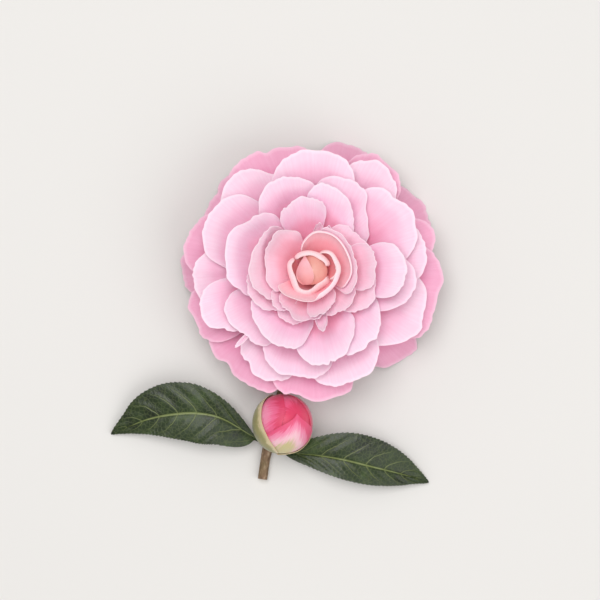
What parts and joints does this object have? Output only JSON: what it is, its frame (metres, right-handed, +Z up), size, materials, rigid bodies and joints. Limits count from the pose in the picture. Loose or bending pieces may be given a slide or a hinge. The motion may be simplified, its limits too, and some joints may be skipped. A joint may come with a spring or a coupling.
{
  "type": "camellia flower",
  "caption": "Fully double pink camellia flower on a short cut twig, with a closed bud and glossy leaves, lying face up.",
  "frame": {"origin": "middle of the whole sprig's bounding box, on the surface that it lies on", "axes": "+Z up, the way the open flower faces; +Y from the cut end of the twig towards the flower; +X to the right of someone who looks down with +Y away from them"},
  "size_m": [0.118, 0.1226, 0.039],
  "materials": {
    "petal": "satin",
    "heart_petal": "satin",
    "sepal": "satin",
    "leaf": "gloss",
    "bark": "matte",
    "bud_petal": "satin"
  },
  "bodies": {
    "root": {"broad_petal_01": "petal", "broad_petal_02": "petal", "broad_petal_03": "petal", "broad_petal_04": "petal", "broad_petal_05": "petal", "broad_petal_06": "petal", "broad_petal_07": "petal", "bud": "bud_petal", "bud_sepal_01": "sepal", "bud_sepal_02": "sepal", "calyx_sepal_01": "sepal", "calyx_sepal_02": "sepal", "calyx_sepal_03": "sepal", "cup_petal_01": "petal", "cup_petal_02": "petal", "cup_petal_03": "petal", "curl_petal_01": "heart_petal", "curl_petal_02": "heart_petal", "curl_petal_03": "heart_petal", "guard_petal_01": "petal", "guard_petal_02": "petal", "guard_petal_03": "petal", "guard_petal_04": "petal", "guard_petal_05": "petal", "guard_petal_06": "petal", "guard_petal_07": "petal", "guard_petal_08": "petal", "guard_petal_09": "petal", "guard_petal_10": "petal", "guard_petal_11": "petal", "guard_petal_12": "petal", "heart_bud": "heart_petal", "heart_petal_01": "heart_petal", "hood_petal_01": "petal", "hood_petal_02": "petal", "inner_petal_01": "petal", "inner_petal_02": "petal", "inner_petal_03": "petal", "inner_petal_04": "petal", "inner_petal_05": "petal", "leaf_left": "leaf", "leaf_right": "leaf", "middle_petal_01": "petal", "middle_petal_02": "petal", "middle_petal_03": "petal", "middle_petal_04": "petal", "middle_petal_05": "petal", "middle_petal_06": "petal", "middle_petal_07": "petal", "outer_petal_01": "petal", "outer_petal_02": "petal", "outer_petal_03": "petal", "outer_petal_04": "petal", "outer_petal_05": "petal", "outer_petal_06": "petal", "outer_petal_07": "petal", "outer_petal_08": "petal", "outer_petal_09": "petal", "twig": "bark"}
  },
  "joints": []
}
